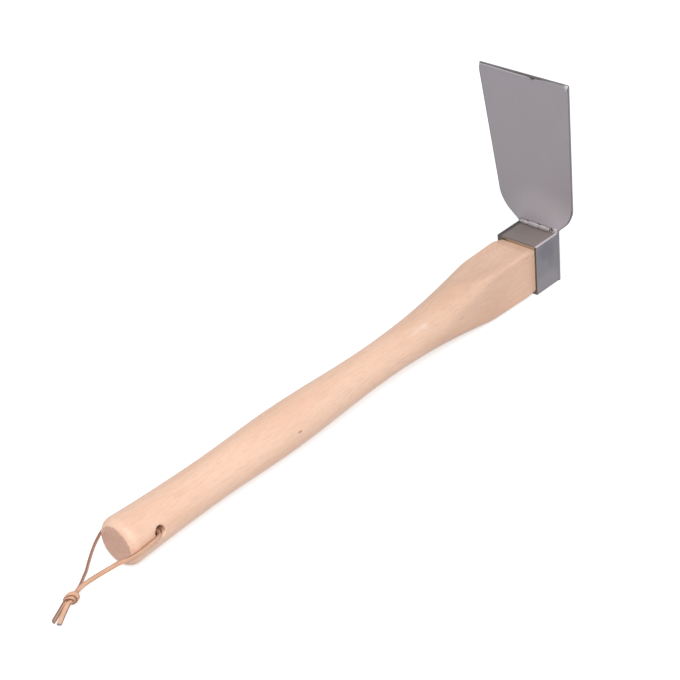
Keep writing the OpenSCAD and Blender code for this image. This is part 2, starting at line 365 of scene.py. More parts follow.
class Shader:
    """Builds the nodes of one material or world."""

    def __init__(self, name: str, kind: str = "materials") -> None:
        """Start an empty material or world.

        Args:
            name: Its name.
            kind: materials or worlds.
        """
        self.owner = getattr(bpy.data, kind).new(name)
        self.owner.use_nodes = True
        self.nodes = self.owner.node_tree.nodes
        self.links = self.owner.node_tree.links
        self.nodes.clear()

    @cached_property
    def place(self) -> Socket:
        """The piece's own coordinates, in metres."""
        return self.add("ShaderNodeTexCoord")["Object"]

    def add(self, kind: str, inputs: Any = (), **settings: Any) -> Any:
        """Add a node.

        Args:
            kind: The node's type.
            inputs: Values or sockets for its inputs, in order, or by name in a dictionary.
            settings: The node's settings by name.

        Returns:
            The node's outputs.
        """
        node = self.nodes.new(kind)
        for key, value in settings.items():
            setattr(node, key, value)
        for key, value in inputs.items() if isinstance(inputs, dict) else enumerate(inputs):
            self.feed(node.inputs[key], value)
        return node.outputs

    def feed(self, socket: Socket, value: Any) -> None:
        """Link a socket to another, or set its value.

        Args:
            socket: An input.
            value: A socket, a number, a vector or a colour.
        """
        if isinstance(value, bpy.types.NodeSocket):
            self.links.new(value, socket)
        elif socket.type == "RGBA":
            socket.default_value = (*value, 1.0)
        else:
            socket.default_value = value

    def math(self, operation: str, a: Any, b: Any = 0.0) -> Socket:
        """Combine values with a Math node."""
        return self.add("ShaderNodeMath", (a, b), operation=operation)[0]

    def plus(self, a: Any, b: Any) -> Socket:
        """Add two values."""
        return self.math("ADD", a, b)

    def times(self, a: Any, b: Any) -> Socket:
        """Multiply two values."""
        return self.math("MULTIPLY", a, b)

    def reach(self, a: Socket, b: Socket) -> Socket:
        """The length of a vector in a plane, from its two parts."""
        return self.math("POWER", self.plus(self.times(a, a), self.times(b, b)), 0.5)

    def split(self, vector: Socket) -> tuple[Socket, Socket, Socket]:
        """Split a vector into X, Y and Z."""
        return tuple(self.add("ShaderNodeSeparateXYZ", (vector,)))

    def facing(self) -> Socket:
        """How far a face looks along X, from -1 to 1."""
        return self.split(self.add("ShaderNodeNewGeometry")["Normal"])[0]

    def mapped(
        self, scale: Floats = (1, 1, 1), at: Floats = (0, 0, 0), turn: Floats = (0, 0, 0),
        source: Socket | None = None,
    ) -> Socket:
        """Stretch, move and turn coordinates.

        Args:
            scale: Factors along X, Y and Z.
            at: Offset in metres, added after the turn.
            turn: Rotation in degrees.
            source: The coordinates; the piece's own by default.

        Returns:
            The mapped coordinates.
        """
        angles = [math.radians(a) for a in turn]
        inputs = {"Vector": source or self.place, "Location": at, "Rotation": angles, "Scale": scale}
        return self.add("ShaderNodeMapping", inputs)[0]

    def ramp(self, value: Socket, low: float, high: float, to: Span = RISING) -> Socket:
        """Map a value smoothly from one range to another, held at its ends."""
        return self.add("ShaderNodeMapRange", (value, low, high, *to), interpolation_type="SMOOTHSTEP")[0]

    def mix(self, share: Any, a: Any, b: Any, blend: str = "MIX") -> Socket:
        """Mix two colours by a share of the second."""
        return self.add("ShaderNodeMix", {0: share, 6: a, 7: b}, data_type="RGBA", blend_type=blend)[2]

    def stain(self, colour: Any, mask: Socket, share: float, tint: Colour) -> Socket:
        """Lay a share of a tint over a colour, inside a mask."""
        return self.mix(self.times(mask, share), colour, tint)

    def bump(self, height: Socket, depth: float, strength: float) -> Socket:
        """Bend the normal by a height from 0 to 1, where 1 stands for a depth in metres."""
        return self.add("ShaderNodeBump", {"Strength": strength, "Distance": depth, "Height": height})[0]

    def spot(self, centre: Floats, radius: float, soft: float, stretch: Floats = (1, 1, 1)) -> Socket:
        """A soft round mask about a point.

        Args:
            centre: The point in millimetres.
            radius: Radius of the full part, in millimetres.
            soft: Width of the soft rim, in millimetres.
            stretch: Factors by which the spot is narrower along X, Y and Z.

        Returns:
            The mask, 1 inside.
        """
        shift = self.add("ShaderNodeVectorMath", (self.place, mm(centre)), operation="SUBTRACT")[0]
        scaled = self.add("ShaderNodeVectorMath", (shift, stretch), operation="MULTIPLY")[0]
        length = self.add("ShaderNodeVectorMath", (scaled,), operation="LENGTH")["Value"]
        return self.ramp(length, radius * MM, (radius + soft) * MM, FALLING)

    def close(self, **inputs: Any) -> Material:
        """End in a Principled shader, with its inputs by name and _ for each space."""
        named = {key.replace("_", " "): value for key, value in inputs.items()}
        return self.end(self.add("ShaderNodeBsdfPrincipled", named)[0])

    def end(self, shader: Socket, kind: str = "Material") -> Any:
        """Send a shader to the output, and give the finished material or world."""
        self.add(f"ShaderNodeOutput{kind}", (shader,))
        return self.owner


# Finishes


@dataclass(frozen=True)
class Blemish:
    """A soft spot of another colour at one place of a piece."""

    centre: Point
    radius: float
    soft: float
    colour: Colour
    share: float = 1.0
    stretch: Point = (1, 1, 1)
    front_only: bool = False
    front: Span = (-0.6, -0.3)

    def over(self, s: Shader, colour: Socket) -> Socket:
        """Lay the spot over a colour, on faces that look to the butt alone if it is front only.

        Args:
            s: The material's shader.
            colour: The colour below.

        Returns:
            The colour with its spot.
        """
        mask = s.spot(self.centre, self.radius, self.soft, self.stretch)
        if self.front_only:
            mask = s.times(mask, s.ramp(s.facing(), *self.front, FALLING))
        return s.stain(colour, mask, self.share, self.colour)


@dataclass(frozen=True)
class Pattern:
    """A noise, and the range over which it stains a colour with a share of a tint."""

    scale: Point
    detail: float
    rough: float
    low: float = 0.0
    high: float = 1.0
    share: float = 1.0
    at: Point = (0, 0, 0)
    turn: Point = (0, 0, 0)
    warp: float = 0.0

    def noise(self, s: Shader, source: Socket | None = None) -> Socket:
        """The noise from 0 to 1, over the piece's coordinates or others.

        Args:
            s: The material's shader.
            source: Other coordinates.

        Returns:
            The noise.
        """
        place = s.mapped(self.scale, self.at, self.turn, source)
        return s.add("ShaderNodeTexNoise", {
            "Vector": place, "Scale": 1.0, "Detail": self.detail, "Roughness": self.rough, "Distortion": self.warp,
        })[0]

    def mask(self, s: Shader, noise: Socket | None = None) -> Socket:
        """Where the pattern shows, from 0 to 1, by a new noise or one made earlier."""
        return s.ramp(noise or self.noise(s), self.low, self.high)

    def over(self, s: Shader, colour: Any, tint: Colour, noise: Socket | None = None) -> Socket:
        """Stain a colour where the pattern shows, by a new noise or one made earlier."""
        return s.stain(colour, self.mask(s, noise), self.share, tint)


@dataclass(frozen=True)
class Rings:
    """Growth rings: their gap and sway in metres, their sharpness and their share of a tint."""

    gap: float
    sway: float
    sharp: float
    share: float

    def lines(self, s: Shader, a: Socket, b: Socket, wander: Socket) -> Socket:
        """Where the rings are dark, from the distances to their middle along two axes."""
        reach = s.plus(s.reach(a, b), s.times(wander, self.sway))
        return s.math("POWER", s.math("FRACT", s.math("DIVIDE", reach, self.gap)), self.sharp)


@dataclass(frozen=True)
class BeechFinish:
    """Pale sanded beech, with its rings, flecks, scuffs and end grain, and painted shade in its cross hole."""

    pale: Colour = (0.912, 0.624, 0.472)
    warm: Colour = (0.862, 0.558, 0.410)
    head_end: Colour = (0.885, 0.870, 0.855)
    fleck: Colour = (0.600, 0.345, 0.225)
    end: Colour = (0.600, 0.350, 0.262)
    end_pale: Colour = (0.770, 0.480, 0.360)
    end_ring: Colour = (0.36, 0.20, 0.135)
    end_speck: Colour = (0.30, 0.16, 0.11)
    drift: Pattern = Pattern((10, 56, 56), 3, 0.5, 0.38, 0.66)
    mottle: Pattern = Pattern((110, 620, 620), 3, 0.6, 0.46, 0.66, 0.20, at=(4, 2, 9))
    streaks: Pattern = Pattern((10, 520, 520), 4, 0.55, 0.35, 0.75, 0.30)
    wander: Pattern = Pattern((6, 20, 20), 2, 0.5)
    rays: Pattern = Pattern((420, 2600, 2600), 2, 0.6, 0.60, 0.72, 0.42)
    pores: Pattern = Pattern((900, 5200, 5200), 2, 0.6, 0.62, 0.74, 0.30, at=(3, 1, 2))
    end_lines: Pattern = Pattern((300, 2200, 330), 3, 0.65, 0.38, 0.66, turn=(38, 0, 0))
    end_specks: Pattern = Pattern((1500, 1500, 1500), 2, 0.6, 0.60, 0.70, 0.35, at=(2, 7, 1))
    rings: Rings = Rings(0.0032, 0.016, 3.0, 0.075)
    pith: Point = (0.0, 0.040, -0.026)
    end_ring_share: float = 0.18
    arcs: Rings = Rings(0.0048, 0.012, 4.0, 0.26)
    arc_centre: Point = (0.197, -0.003, 0.0)
    arc_squeeze: float = 1.7
    arc_room: tuple[Point, float, float, Point] = ((179, 0, 39), 9, 9, (0.7, 0.8, 1))
    dim_from: Span = (0.02, 0.12)
    dim_to: Span = (0.14, 0.17)
    undim: float = 0.80
    end_from: Span = (0.84, 0.93)
    roughness: Span = (0.38, 0.47)
    specular: float = 0.42
    relief_shares: Span = (0.6, -0.5)
    bumps: Span = (0.00005, 0.6)
    blemishes: tuple[Blemish, ...] = (
        Blemish((-65.3, -16.0, 21.9), 0.35, 0.75, (0.560, 0.300, 0.190), 0.75, (0.35, 1, 1)),
        Blemish((-65.1, -16.0, 21.9), 0.15, 0.35, (0.230, 0.110, 0.070), 0.85, (0.40, 1, 1)),
        Blemish((71.0, -9.6, 31.2), 0.2, 1.8, (0.960, 0.820, 0.750), 0.36, (0.34, 0.7, 0.7)),
        Blemish((64.0, -8.6, 30.6), 0.3, 2.4, (0.960, 0.780, 0.690), 0.34, (0.20, 1, 1)),
        Blemish((182.9, -13.2, 38.9), 0.5, 1.0, (0.960, 0.780, 0.660), 0.4, (0.5, 1, 1)),
        Blemish((180.0, -16.2, 35.5), 0.25, 0.7, (0.520, 0.300, 0.200), 0.55, (0.22, 1, 1)),
        Blemish((103.7, -16.2, 23.5), 0.4, 0.9, (0.640, 0.380, 0.260), 0.55, (0.3, 1, 1)),
        Blemish((-206.3, -12.8, 27.9), 0.4, 2.4, (0.720, 0.440, 0.310), 0.22, (0.3, 1, 1)),
        Blemish((-160.0, -8.0, 29.0), 0.5, 3.0, (0.760, 0.450, 0.330), 0.20, (0.15, 1, 1)),
        Blemish((88.0, -6.0, 33.0), 0.5, 3.0, (0.800, 0.480, 0.370), 0.25, (0.3, 1, 1)),
        # Painted shade inside the cross hole
        Blemish((-193.0, -10.2, 18.2), 4.2, 0.7, (0.200, 0.095, 0.060), 0.85),
        Blemish((188.8, -15.8, 20.0), 0.5, 0.9, (0.960, 0.780, 0.560), 0.6, (1, 1, 0.03)),
        Blemish((188.8, 0.0, 37.5), 0.5, 0.9, (0.960, 0.780, 0.560), 0.5, (1, 0.03, 1)),
    )

    def material(self) -> Material:
        """Build the material.

        Returns:
            The material.
        """
        s = Shader("beech")
        streak, wander, ray = self.streaks.noise(s), self.wander.noise(s), self.rays.mask(s)
        # Growth rings about a pith line outside the handle
        x, _, _ = s.split(s.place)
        _, y, z = s.split(s.mapped(at=(0, -self.pith[1], -self.pith[2])))
        ring = self.rings.lines(s, y, z, wander)
        colour = self.drift.over(s, self.pale, self.warm)
        colour = self.mottle.over(s, colour, self.fleck)
        colour = self.streaks.over(s, colour, self.warm, streak)
        colour = s.stain(colour, ring, self.rings.share, self.fleck)
        # Short dark rays and pores along the grain
        colour = s.stain(colour, ray, self.rays.share, self.fleck)
        colour = self.pores.over(s, colour, self.fleck)
        # Arcs of the rings where the stock's flat top cuts them, near the socket
        centre, squeeze = self.arc_centre, self.arc_squeeze
        a, b, _ = s.split(s.mapped((1, squeeze, 1), at=(-centre[0], -centre[1] * squeeze, 0)))
        arc = s.times(self.arcs.lines(s, a, b, wander), s.spot(*self.arc_room))
        colour = s.stain(colour, arc, self.arcs.share, self.fleck)
        # The wood is duller towards the head, but less so at the socket
        dim = s.math("SUBTRACT", s.ramp(x, *self.dim_from), s.times(s.ramp(x, *self.dim_to), self.undim))
        colour = s.mix(dim, colour, s.mix(1.0, colour, self.head_end, "MULTIPLY"))
        for blemish in self.blemishes:
            colour = blemish.over(s, colour)
        # End grain on the butt, darker, with its rays in one direction
        end = self.end_lines.over(s, self.end, self.end_pale)
        end = s.stain(end, ring, self.end_ring_share, self.end_ring)
        end = self.end_specks.over(s, end, self.end_speck)
        colour = s.mix(s.ramp(s.times(s.facing(), -1.0), *self.end_from), colour, end)
        relief = s.plus(*map(s.times, (streak, ray), self.relief_shares))
        return s.close(
            Base_Color=colour, Roughness=s.ramp(streak, *MOST, self.roughness), Specular_IOR_Level=self.specular,
            Normal=s.bump(relief, *self.bumps),
        )


@dataclass(frozen=True)
class SheetFinish:
    """Matte rolled sheet, dulled by handling."""

    name: str
    pale: Colour
    dark: Colour
    roughness: float = 0.52
    metallic: float = 0.45
    cloud: Pattern = Pattern((18, 18, 12), 3, 0.55, 0.30, 0.70, warp=0.4)
    rolled: Pattern = Pattern((40, 900, 60), 4, 0.6, 0.3, 0.8, 0.12)
    pits: Pattern = Pattern((2600, 2600, 2600), 2, 0.5, 0.55, 0.75, 0.10)
    rough_spread: Span = (-0.04, 0.05)
    relief_shares: Span = (0.7, 0.3)
    bumps: Span = (0.00003, 0.5)
    blemishes: tuple[Blemish, ...] = ()

    def material(self) -> Material:
        """Build the material.

        Returns:
            The material.
        """
        s = Shader(self.name)
        cloud, rolled, pits = self.cloud.noise(s), self.rolled.noise(s), self.pits.noise(s)
        colour = self.cloud.over(s, self.dark, self.pale, cloud)
        colour = self.rolled.over(s, colour, self.dark, rolled)
        colour = self.pits.over(s, colour, self.dark, pits)
        for blemish in self.blemishes:
            colour = blemish.over(s, colour)
        smoother, rougher = self.rough_spread
        rough = s.ramp(cloud, *MOST, (self.roughness + smoother, self.roughness + rougher))
        relief = s.plus(*map(s.times, (rolled, pits), self.relief_shares))
        normal = s.bump(relief, *self.bumps)
        return s.close(Base_Color=colour, Metallic=self.metallic, Roughness=rough, Normal=normal)


@dataclass(frozen=True)
class BladeRimFinish:
    """The blade's rim: the bevel ground along its top, or its sheared sides.

    The masks are laid out in the blade's own frame, with X through the sheet from its
    back, Y to the far side and Z up the blade from the bend, in metres.
    """

    name: str
    ground: bool
    metallic: float
    steel: Colour = (0.330, 0.306, 0.330)
    dark: Colour = (0.062, 0.057, 0.061)
    line: Colour = (0.560, 0.525, 0.555)
    shade: Colour = (0.165, 0.152, 0.160)
    bend: Point = (0.217, 0.0, 0.0405)
    lean: float = 5.5
    top: float = 0.1295
    wobble: Pattern = Pattern((160, 160, 160), 3, 0.6)
    scratches: Pattern = Pattern((2400, 300, 2400), 3, 0.6, 0.45, 0.75, 0.25)
    # The dark band is painted reflection on the ground bevel; its depth on either side of the blade: from Y, to Y, and
    # the depth at both
    bands: tuple[tuple[Span, Span], ...] = (((-0.008, 0.036), (0.0014, 0.0009)), ((-0.026, -0.010), (0.0006, 0.0014)))
    band_edge: Span = (-0.00015, 0.00015)
    lit_edge: Span = (0.0002, 0.0007)
    lit_from: Span = (-0.010, 0.004)
    lit_share: float = 0.95
    deep: tuple[Point, float, float, Point] = ((203.1, -6.0, 168.0), 3, 16, (1, 1, 0))
    deep_from: Span = (0.7, 0.3)
    notch_and_highlight: tuple[Blemish, ...] = (
        Blemish((203.1, -8.5, 167.6), 0.4, 0.6, (0.03, 0.03, 0.03), 0.85, (1, 0.35, 1)),
        # A painted highlight at the top near corner
        Blemish((204.0, -38.5, 168.8), 0.3, 3.0, (0.85, 0.80, 0.82), 0.85),
    )
    # The pale line along the sheared sides: where it starts and ends in the sheet
    side_line: tuple[Span, Span] = ((-0.0019, -0.0014), (-0.0009, -0.0004))
    side_share: float = 0.35
    band_wobble: float = 0.0008
    side_wobble: float = 0.0006
    roughness: float = 0.42
    bumps: Span = (0.00003, 0.5)

    def material(self) -> Material:
        """Build the material.

        Returns:
            The material.
        """
        s = Shader(self.name)
        home = Matrix.Rotation(math.radians(self.lean), 3, "Y") @ Vector(self.bend)
        x, y, z = s.split(s.mapped(at=-home, turn=(0, self.lean, 0)))
        wobble = s.math("SUBTRACT", self.wobble.noise(s), 0.5)
        scratch = self.scratches.noise(s)
        if self.ground:
            # A dark band of painted reflection along the ground bevel, darkest near the notch, with a painted highlight
            # along its lower edge
            limit = s.math("MINIMUM", *(s.ramp(y, *reach, depths) for reach, depths in self.bands))
            past = s.math("SUBTRACT", s.math("SUBTRACT", self.top, z), s.plus(limit, s.times(wobble, self.band_wobble)))
            lit = s.times(s.ramp(past, *self.lit_edge, FALLING), s.ramp(y, *self.lit_from))
            colour = s.stain(self.steel, lit, self.lit_share, self.line)
            deep = s.times(s.ramp(scratch, *self.deep_from), s.spot(*self.deep))
            colour = s.mix(s.ramp(past, *self.band_edge, FALLING), colour, s.mix(deep, self.shade, self.dark))
            for mark in self.notch_and_highlight:
                colour = mark.over(s, colour)
        else:
            through = s.plus(x, s.times(wobble, self.side_wobble))
            start, stop = self.side_line
            line = s.math("MINIMUM", s.ramp(through, *start), s.ramp(through, *stop, FALLING))
            colour = s.stain(self.dark, line, self.side_share, self.line)
            colour = self.scratches.over(s, colour, self.steel, scratch)
        normal = s.bump(scratch, *self.bumps)
        return s.close(Base_Color=colour, Metallic=self.metallic, Roughness=self.roughness, Normal=normal)


@dataclass(frozen=True)
class WeldFinish:
    """Bare weld metal with ripples along its run; with a corner given, painted shade where it meets the sheet."""

    name: str
    bright: Colour
    dull: Colour
    ripple: float = 0.0011
    ripple_share: float = 0.12
    wobble: Pattern = Pattern((260, 260, 260), 3, 0.6, 0.35, 0.65)
    wobble_turns: float = 1.6
    crevice_shade: Colour = (0.075, 0.062, 0.062)
    crevice_shade_share: float = 0.85
    crevice_shade_low: Span = (0.0002, 0.0007)
    crevice_shade_back: Span = (-0.0011, -0.0006)
    corner: Span | None = None
    metallic: float = 0.35
    roughness: float = 0.55
    bumps: Span = (0.00012, 0.6)

    def material(self) -> Material:
        """Build the material.

        Returns:
            The material.
        """
        s = Shader(self.name)
        x, y, z = s.split(s.place)
        wobble = self.wobble.noise(s)
        phase = s.plus(s.math("DIVIDE", y, self.ripple), s.times(wobble, self.wobble_turns))
        wave = s.math("SINE", s.times(phase, 2 * math.pi))
        colour = self.wobble.over(s, self.dull, self.bright, wobble)
        # Painted shade in the crevices where the bead meets the top plate and the blade
        if self.corner:
            plate_x, top_z = self.corner
            low = s.ramp(z, *(top_z + rise for rise in self.crevice_shade_low), FALLING)
            back = s.ramp(x, *(plate_x + step for step in self.crevice_shade_back))
            colour = s.stain(colour, s.math("MAXIMUM", low, back), self.crevice_shade_share, self.crevice_shade)
        normal = s.bump(s.plus(s.times(wave, self.ripple_share), wobble), *self.bumps)
        return s.close(Base_Color=colour, Metallic=self.metallic, Roughness=self.roughness, Normal=normal)


@dataclass(frozen=True)
class LeatherFinish:
    """Natural tan leather lace, with its fibres along the lace and its two cut edges darker.

    It follows the lace's own UV map, with U along the lace and V round it, in metres.
    """

    pale: Colour = (0.800, 0.500, 0.350)
    dark: Colour = (0.690, 0.400, 0.270)
    edge: Colour = (0.270, 0.135, 0.090)
    fibres: Pattern = Pattern((350, 2600, 1), 3, 0.6, 0.35, 0.7, 0.3)
    cloud: Pattern = Pattern((120, 220, 1), 2, 0.5, 0.3, 0.7, at=(5, 2, 0))
    girth: float = 0.0098
    edge_from: float = 1 / 14
    edge_width: Span = (0.08, 0.22)
    edge_share: Span = (0.80, 0.80)
    share_changes: Span = (0.029, 0.036)
    roughness: float = 0.66
    specular: float = 0.25
    bumps: Span = (0.00008, 0.5)

    def material(self) -> Material:
        """Build the material.

        Returns:
            The material.
        """
        s = Shader("lace_leather")
        uv = s.add("ShaderNodeUVMap", uv_map="lace")[0]
        fibres, cloud = self.fibres.noise(s, uv), self.cloud.noise(s, uv)
        colour = self.cloud.over(s, self.pale, self.dark, cloud)
        colour = self.fibres.over(s, colour, self.dark, fibres)
        # The cut edges lie at 6.5 and at 13.5 of the section's 14 corners
        along, around, _ = s.split(uv)
        turn = s.math("FRACT", s.plus(s.times(around, 2 / self.girth), self.edge_from))
        off = s.math("ABSOLUTE", s.math("SUBTRACT", s.math("FRACT", s.plus(turn, 0.5)), 0.5))
        # A larger share of the edge colour near the hole, where a strand has one, adds painted shade to the cut edges'
        # own darker colour
        share = s.ramp(along, *self.share_changes, self.edge_share)
        colour = s.mix(s.times(s.ramp(off, *self.edge_width, FALLING), share), colour, self.edge)
        normal = s.bump(fibres, *self.bumps)
        return s.close(Base_Color=colour, Roughness=self.roughness, Specular_IOR_Level=self.specular, Normal=normal)


@dataclass(frozen=True)
class CutLeatherFinish:
    """The fibrous cut end of the lace."""

    pale: Colour = (0.430, 0.350, 0.330)
    dark: Colour = (0.260, 0.195, 0.175)
    fibres: Pattern = Pattern((2200, 2200, 2200), 3, 0.6, 0.35, 0.65)
    roughness: float = 0.8
    specular: float = 0.2
    bumps: Span = (0.00010, 0.6)

    def material(self) -> Material:
        """Build the material.

        Returns:
            The material.
        """
        s = Shader("lace_cut_end")
        fibres = self.fibres.noise(s)
        colour = self.fibres.over(s, self.dark, self.pale, fibres)
        normal = s.bump(fibres, *self.bumps)
        return s.close(Base_Color=colour, Roughness=self.roughness, Specular_IOR_Level=self.specular, Normal=normal)


@dataclass(frozen=True)
class FloorFinish:
    """Pale studio floor, which looks white to the camera and keeps the shadow."""

    pale: float = 0.64
    spread: float = 0.01
    speck: Pattern = Pattern((30, 30, 30), 2, 0.5)
    glow: float = 0.62
    far_glow: float = 0.74
    glow_changes: Span = (0.6, 3.0)

    def material(self) -> Material:
        """Build the material.

        Returns:
            The material.
        """
        s = Shader("studio_floor")
        tone = s.ramp(self.speck.noise(s), 0.0, 1.0, (self.pale - self.spread, self.pale + self.spread))
        colour = s.add("ShaderNodeCombineColor", (tone, tone, tone))[0]
        matte = s.add("ShaderNodeBsdfDiffuse", {"Color": colour})[0]
        rays = s.add("ShaderNodeLightPath")
        seen = s.math("MAXIMUM", rays["Is Camera Ray"], rays["Is Glossy Ray"])
        # The floor is lit less far from the hoe, and glows more there
        x, y, _ = s.split(s.place)
        strength = s.times(seen, s.ramp(s.reach(x, y), *self.glow_changes, (self.glow, self.far_glow)))
        glow = s.add("ShaderNodeEmission", {"Strength": strength})[0]
        return s.end(s.add("ShaderNodeAddShader", (matte, glow))[0])


class Metal(Enum):
    """The head's metal finishes."""

    BLADE = SheetFinish(
        "blade_sheet", (0.362, 0.336, 0.366), (0.336, 0.312, 0.340), roughness=0.60, metallic=0.28, blemishes=(
            # Painted light: the front is brightened towards the bend, in place of the light that the handle and the top
            # plate shut off
            Blemish((214.5, -14.0, 44.0), 0.0, 40.0, (0.580, 0.540, 0.585), 0.80, (1, 0.8, 1), True),
            # A painted highlight at the blade's top near corner
            Blemish((203.8, -38.2, 167.6), 0.3, 3.0, (0.800, 0.760, 0.790), 0.7),
            # Painted shade in the crevices where the weld beads meet
            Blemish((214.8, 9.0, 43.0), 0.4, 0.9, (0.070, 0.062, 0.062), 0.85, (1, 0.6, 1)),
            Blemish((214.8, -1.2, 43.2), 0.4, 0.9, (0.070, 0.062, 0.062), 0.85, (1, 0.6, 1)),
            # A painted highlight where the near wall's top edge meets the bend
            Blemish((214.7, -16.2, 42.2), 1.2, 0.9, (0.980, 0.930, 0.940), 0.9),
            # Painted shade at the ends of the weld beads, against the walls
            Blemish((215.0, 16.2, 41.6), 0.8, 1.2, (0.070, 0.062, 0.062), 0.8),
            Blemish((215.0, -12.6, 42.0), 0.5, 0.9, (0.070, 0.062, 0.062), 0.8, (1, 1, 0.5)),
        ),
    )
    # A dark band painted along the rim of the blade's front, on its far side and near the bend
    OUTLINE = SheetFinish("blade_dark_rim", (0.125, 0.116, 0.122), (0.085, 0.078, 0.083))
    SIDES = BladeRimFinish("blade_sheared_side", ground=False, metallic=0.25)
    GROUND = BladeRimFinish("blade_ground_bevel", ground=True, metallic=0.5)
    # The socket's sheet is the blade's steel, painted darker as painted shade for its upright walls
    SOCKET = SheetFinish(
        "socket_sheet", (0.232, 0.220, 0.243), (0.208, 0.198, 0.220), blemishes=(
            # Painted shade and painted reflections on the near wall: darker high in its middle and towards the bend, a
            # bluish streak near the mouth, and lighter low down
            Blemish((201.0, -18.0, 33.0), 3.0, 9.0, (0.165, 0.158, 0.188), 0.75, (0.8, 1, 1)),
            Blemish((193.5, -18.0, 24.0), 0.5, 3.0, (0.200, 0.222, 0.300), 0.6, (1, 1, 0.35)),
            Blemish((206.0, -18.0, 25.0), 1.5, 4.5, (0.165, 0.156, 0.182), 0.45, (1, 1, 0.5)),
            Blemish((200.0, -18.0, 5.0), 5.0, 8.0, (0.290, 0.272, 0.300), 0.7, (0.5, 1, 1)),
        ),
    )
    # A painted highlight on the near wall's top edge, and painted shade on the far edges
    EDGE = SheetFinish("lit_wall_rim", (0.820, 0.730, 0.765), (0.660, 0.590, 0.615), roughness=0.40)
    SHADED_EDGE = SheetFinish("shaded_far_rim", (0.110, 0.108, 0.100), (0.075, 0.072, 0.070), roughness=0.45)
    LIP = SheetFinish(
        "mouth_edge", (0.440, 0.315, 0.225), (0.330, 0.235, 0.165), roughness=0.26, blemishes=(
            # Painted shade at the far side of the mouth and along the socket's floor at the mouth
            Blemish((189.0, 17.0, 22.0), 6.0, 6.0, (0.070, 0.066, 0.062), 0.95, (1, 1, 0.28)),
            Blemish((189.0, 2.0, 0.8), 2.0, 1.5, (0.070, 0.062, 0.058), 0.9, (1, 0.1, 1)),
        ),
    )
    TOP = SheetFinish(
        "top_plate_sheet", (0.290, 0.244, 0.230), (0.258, 0.218, 0.206), roughness=0.62, metallic=0.3, blemishes=(
            Blemish((190.0, 0.0, 39.7), 0.5, 1.2, (0.170, 0.125, 0.095), 0.7, (1, 0.05, 1)),
        ),
    )
    SCREW = SheetFinish("screw_steel", (0.520, 0.520, 0.530), (0.400, 0.400, 0.410), roughness=0.32, metallic=0.9)
    BEAD = WeldFinish("weld_bead", (0.540, 0.490, 0.495), (0.420, 0.375, 0.380), corner=(0.215, 0.0397))
    SEAM = WeldFinish("ground_seam", (0.262, 0.258, 0.270), (0.200, 0.196, 0.208), ripple=0.0006)


_made: dict[str, Material] = {}


def finish_of(finish: Any) -> Material:
    """The material of a finish, built once.

    Args:
        finish: A finish, or a member of Metal.

    Returns:
        Its material.
    """
    key = repr(finish)
    if key not in _made:
        _made[key] = (finish.value if isinstance(finish, Metal) else finish).material()
    return _made[key]


def dress(obj: Object, *finishes: Any) -> None:
    """Give a piece its materials in order, in place of those that it has.

    Args:
        obj: The piece.
        finishes: Finishes, or members of Metal.
    """
    # Clearing also resets the faces' slots, which a swept lace already has
    if obj.data.materials:
        obj.data.materials.clear()
    for finish in finishes:
        obj.data.materials.append(finish_of(finish))


def paint(obj: Object, choose: Callable[[Face], Metal], *finishes: Metal) -> None:
    """Dress a piece, and give each face one of its finishes.

    Args:
        obj: The piece.
        choose: Gives a face's finish.
        finishes: All its finishes, in the order of their slots.
    """
    dress(obj, *finishes)
    for face in obj.data.polygons:
        face.material_index = finishes.index(choose(face))


def settle(obj: Object, slot: str, *nodes: str) -> Object:
    """Let a finished piece ride on the hoe and stand for CAD nodes.

    Args:
        obj: The piece.
        slot: Not used.
        nodes: The CAD nodes that it stands for.

    Returns:
        The piece.
    """
    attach(obj, BODY)
    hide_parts(*nodes)
    return obj


def linked(name: str, data: Any) -> Object:
    """Put data in the scene as an object.

    Args:
        name: The object's name.
        data: Its mesh, camera or light.

    Returns:
        The object.
    """
    obj = bpy.data.objects.new(name, data)
    bpy.context.scene.collection.objects.link(obj)
    return obj


# The lace


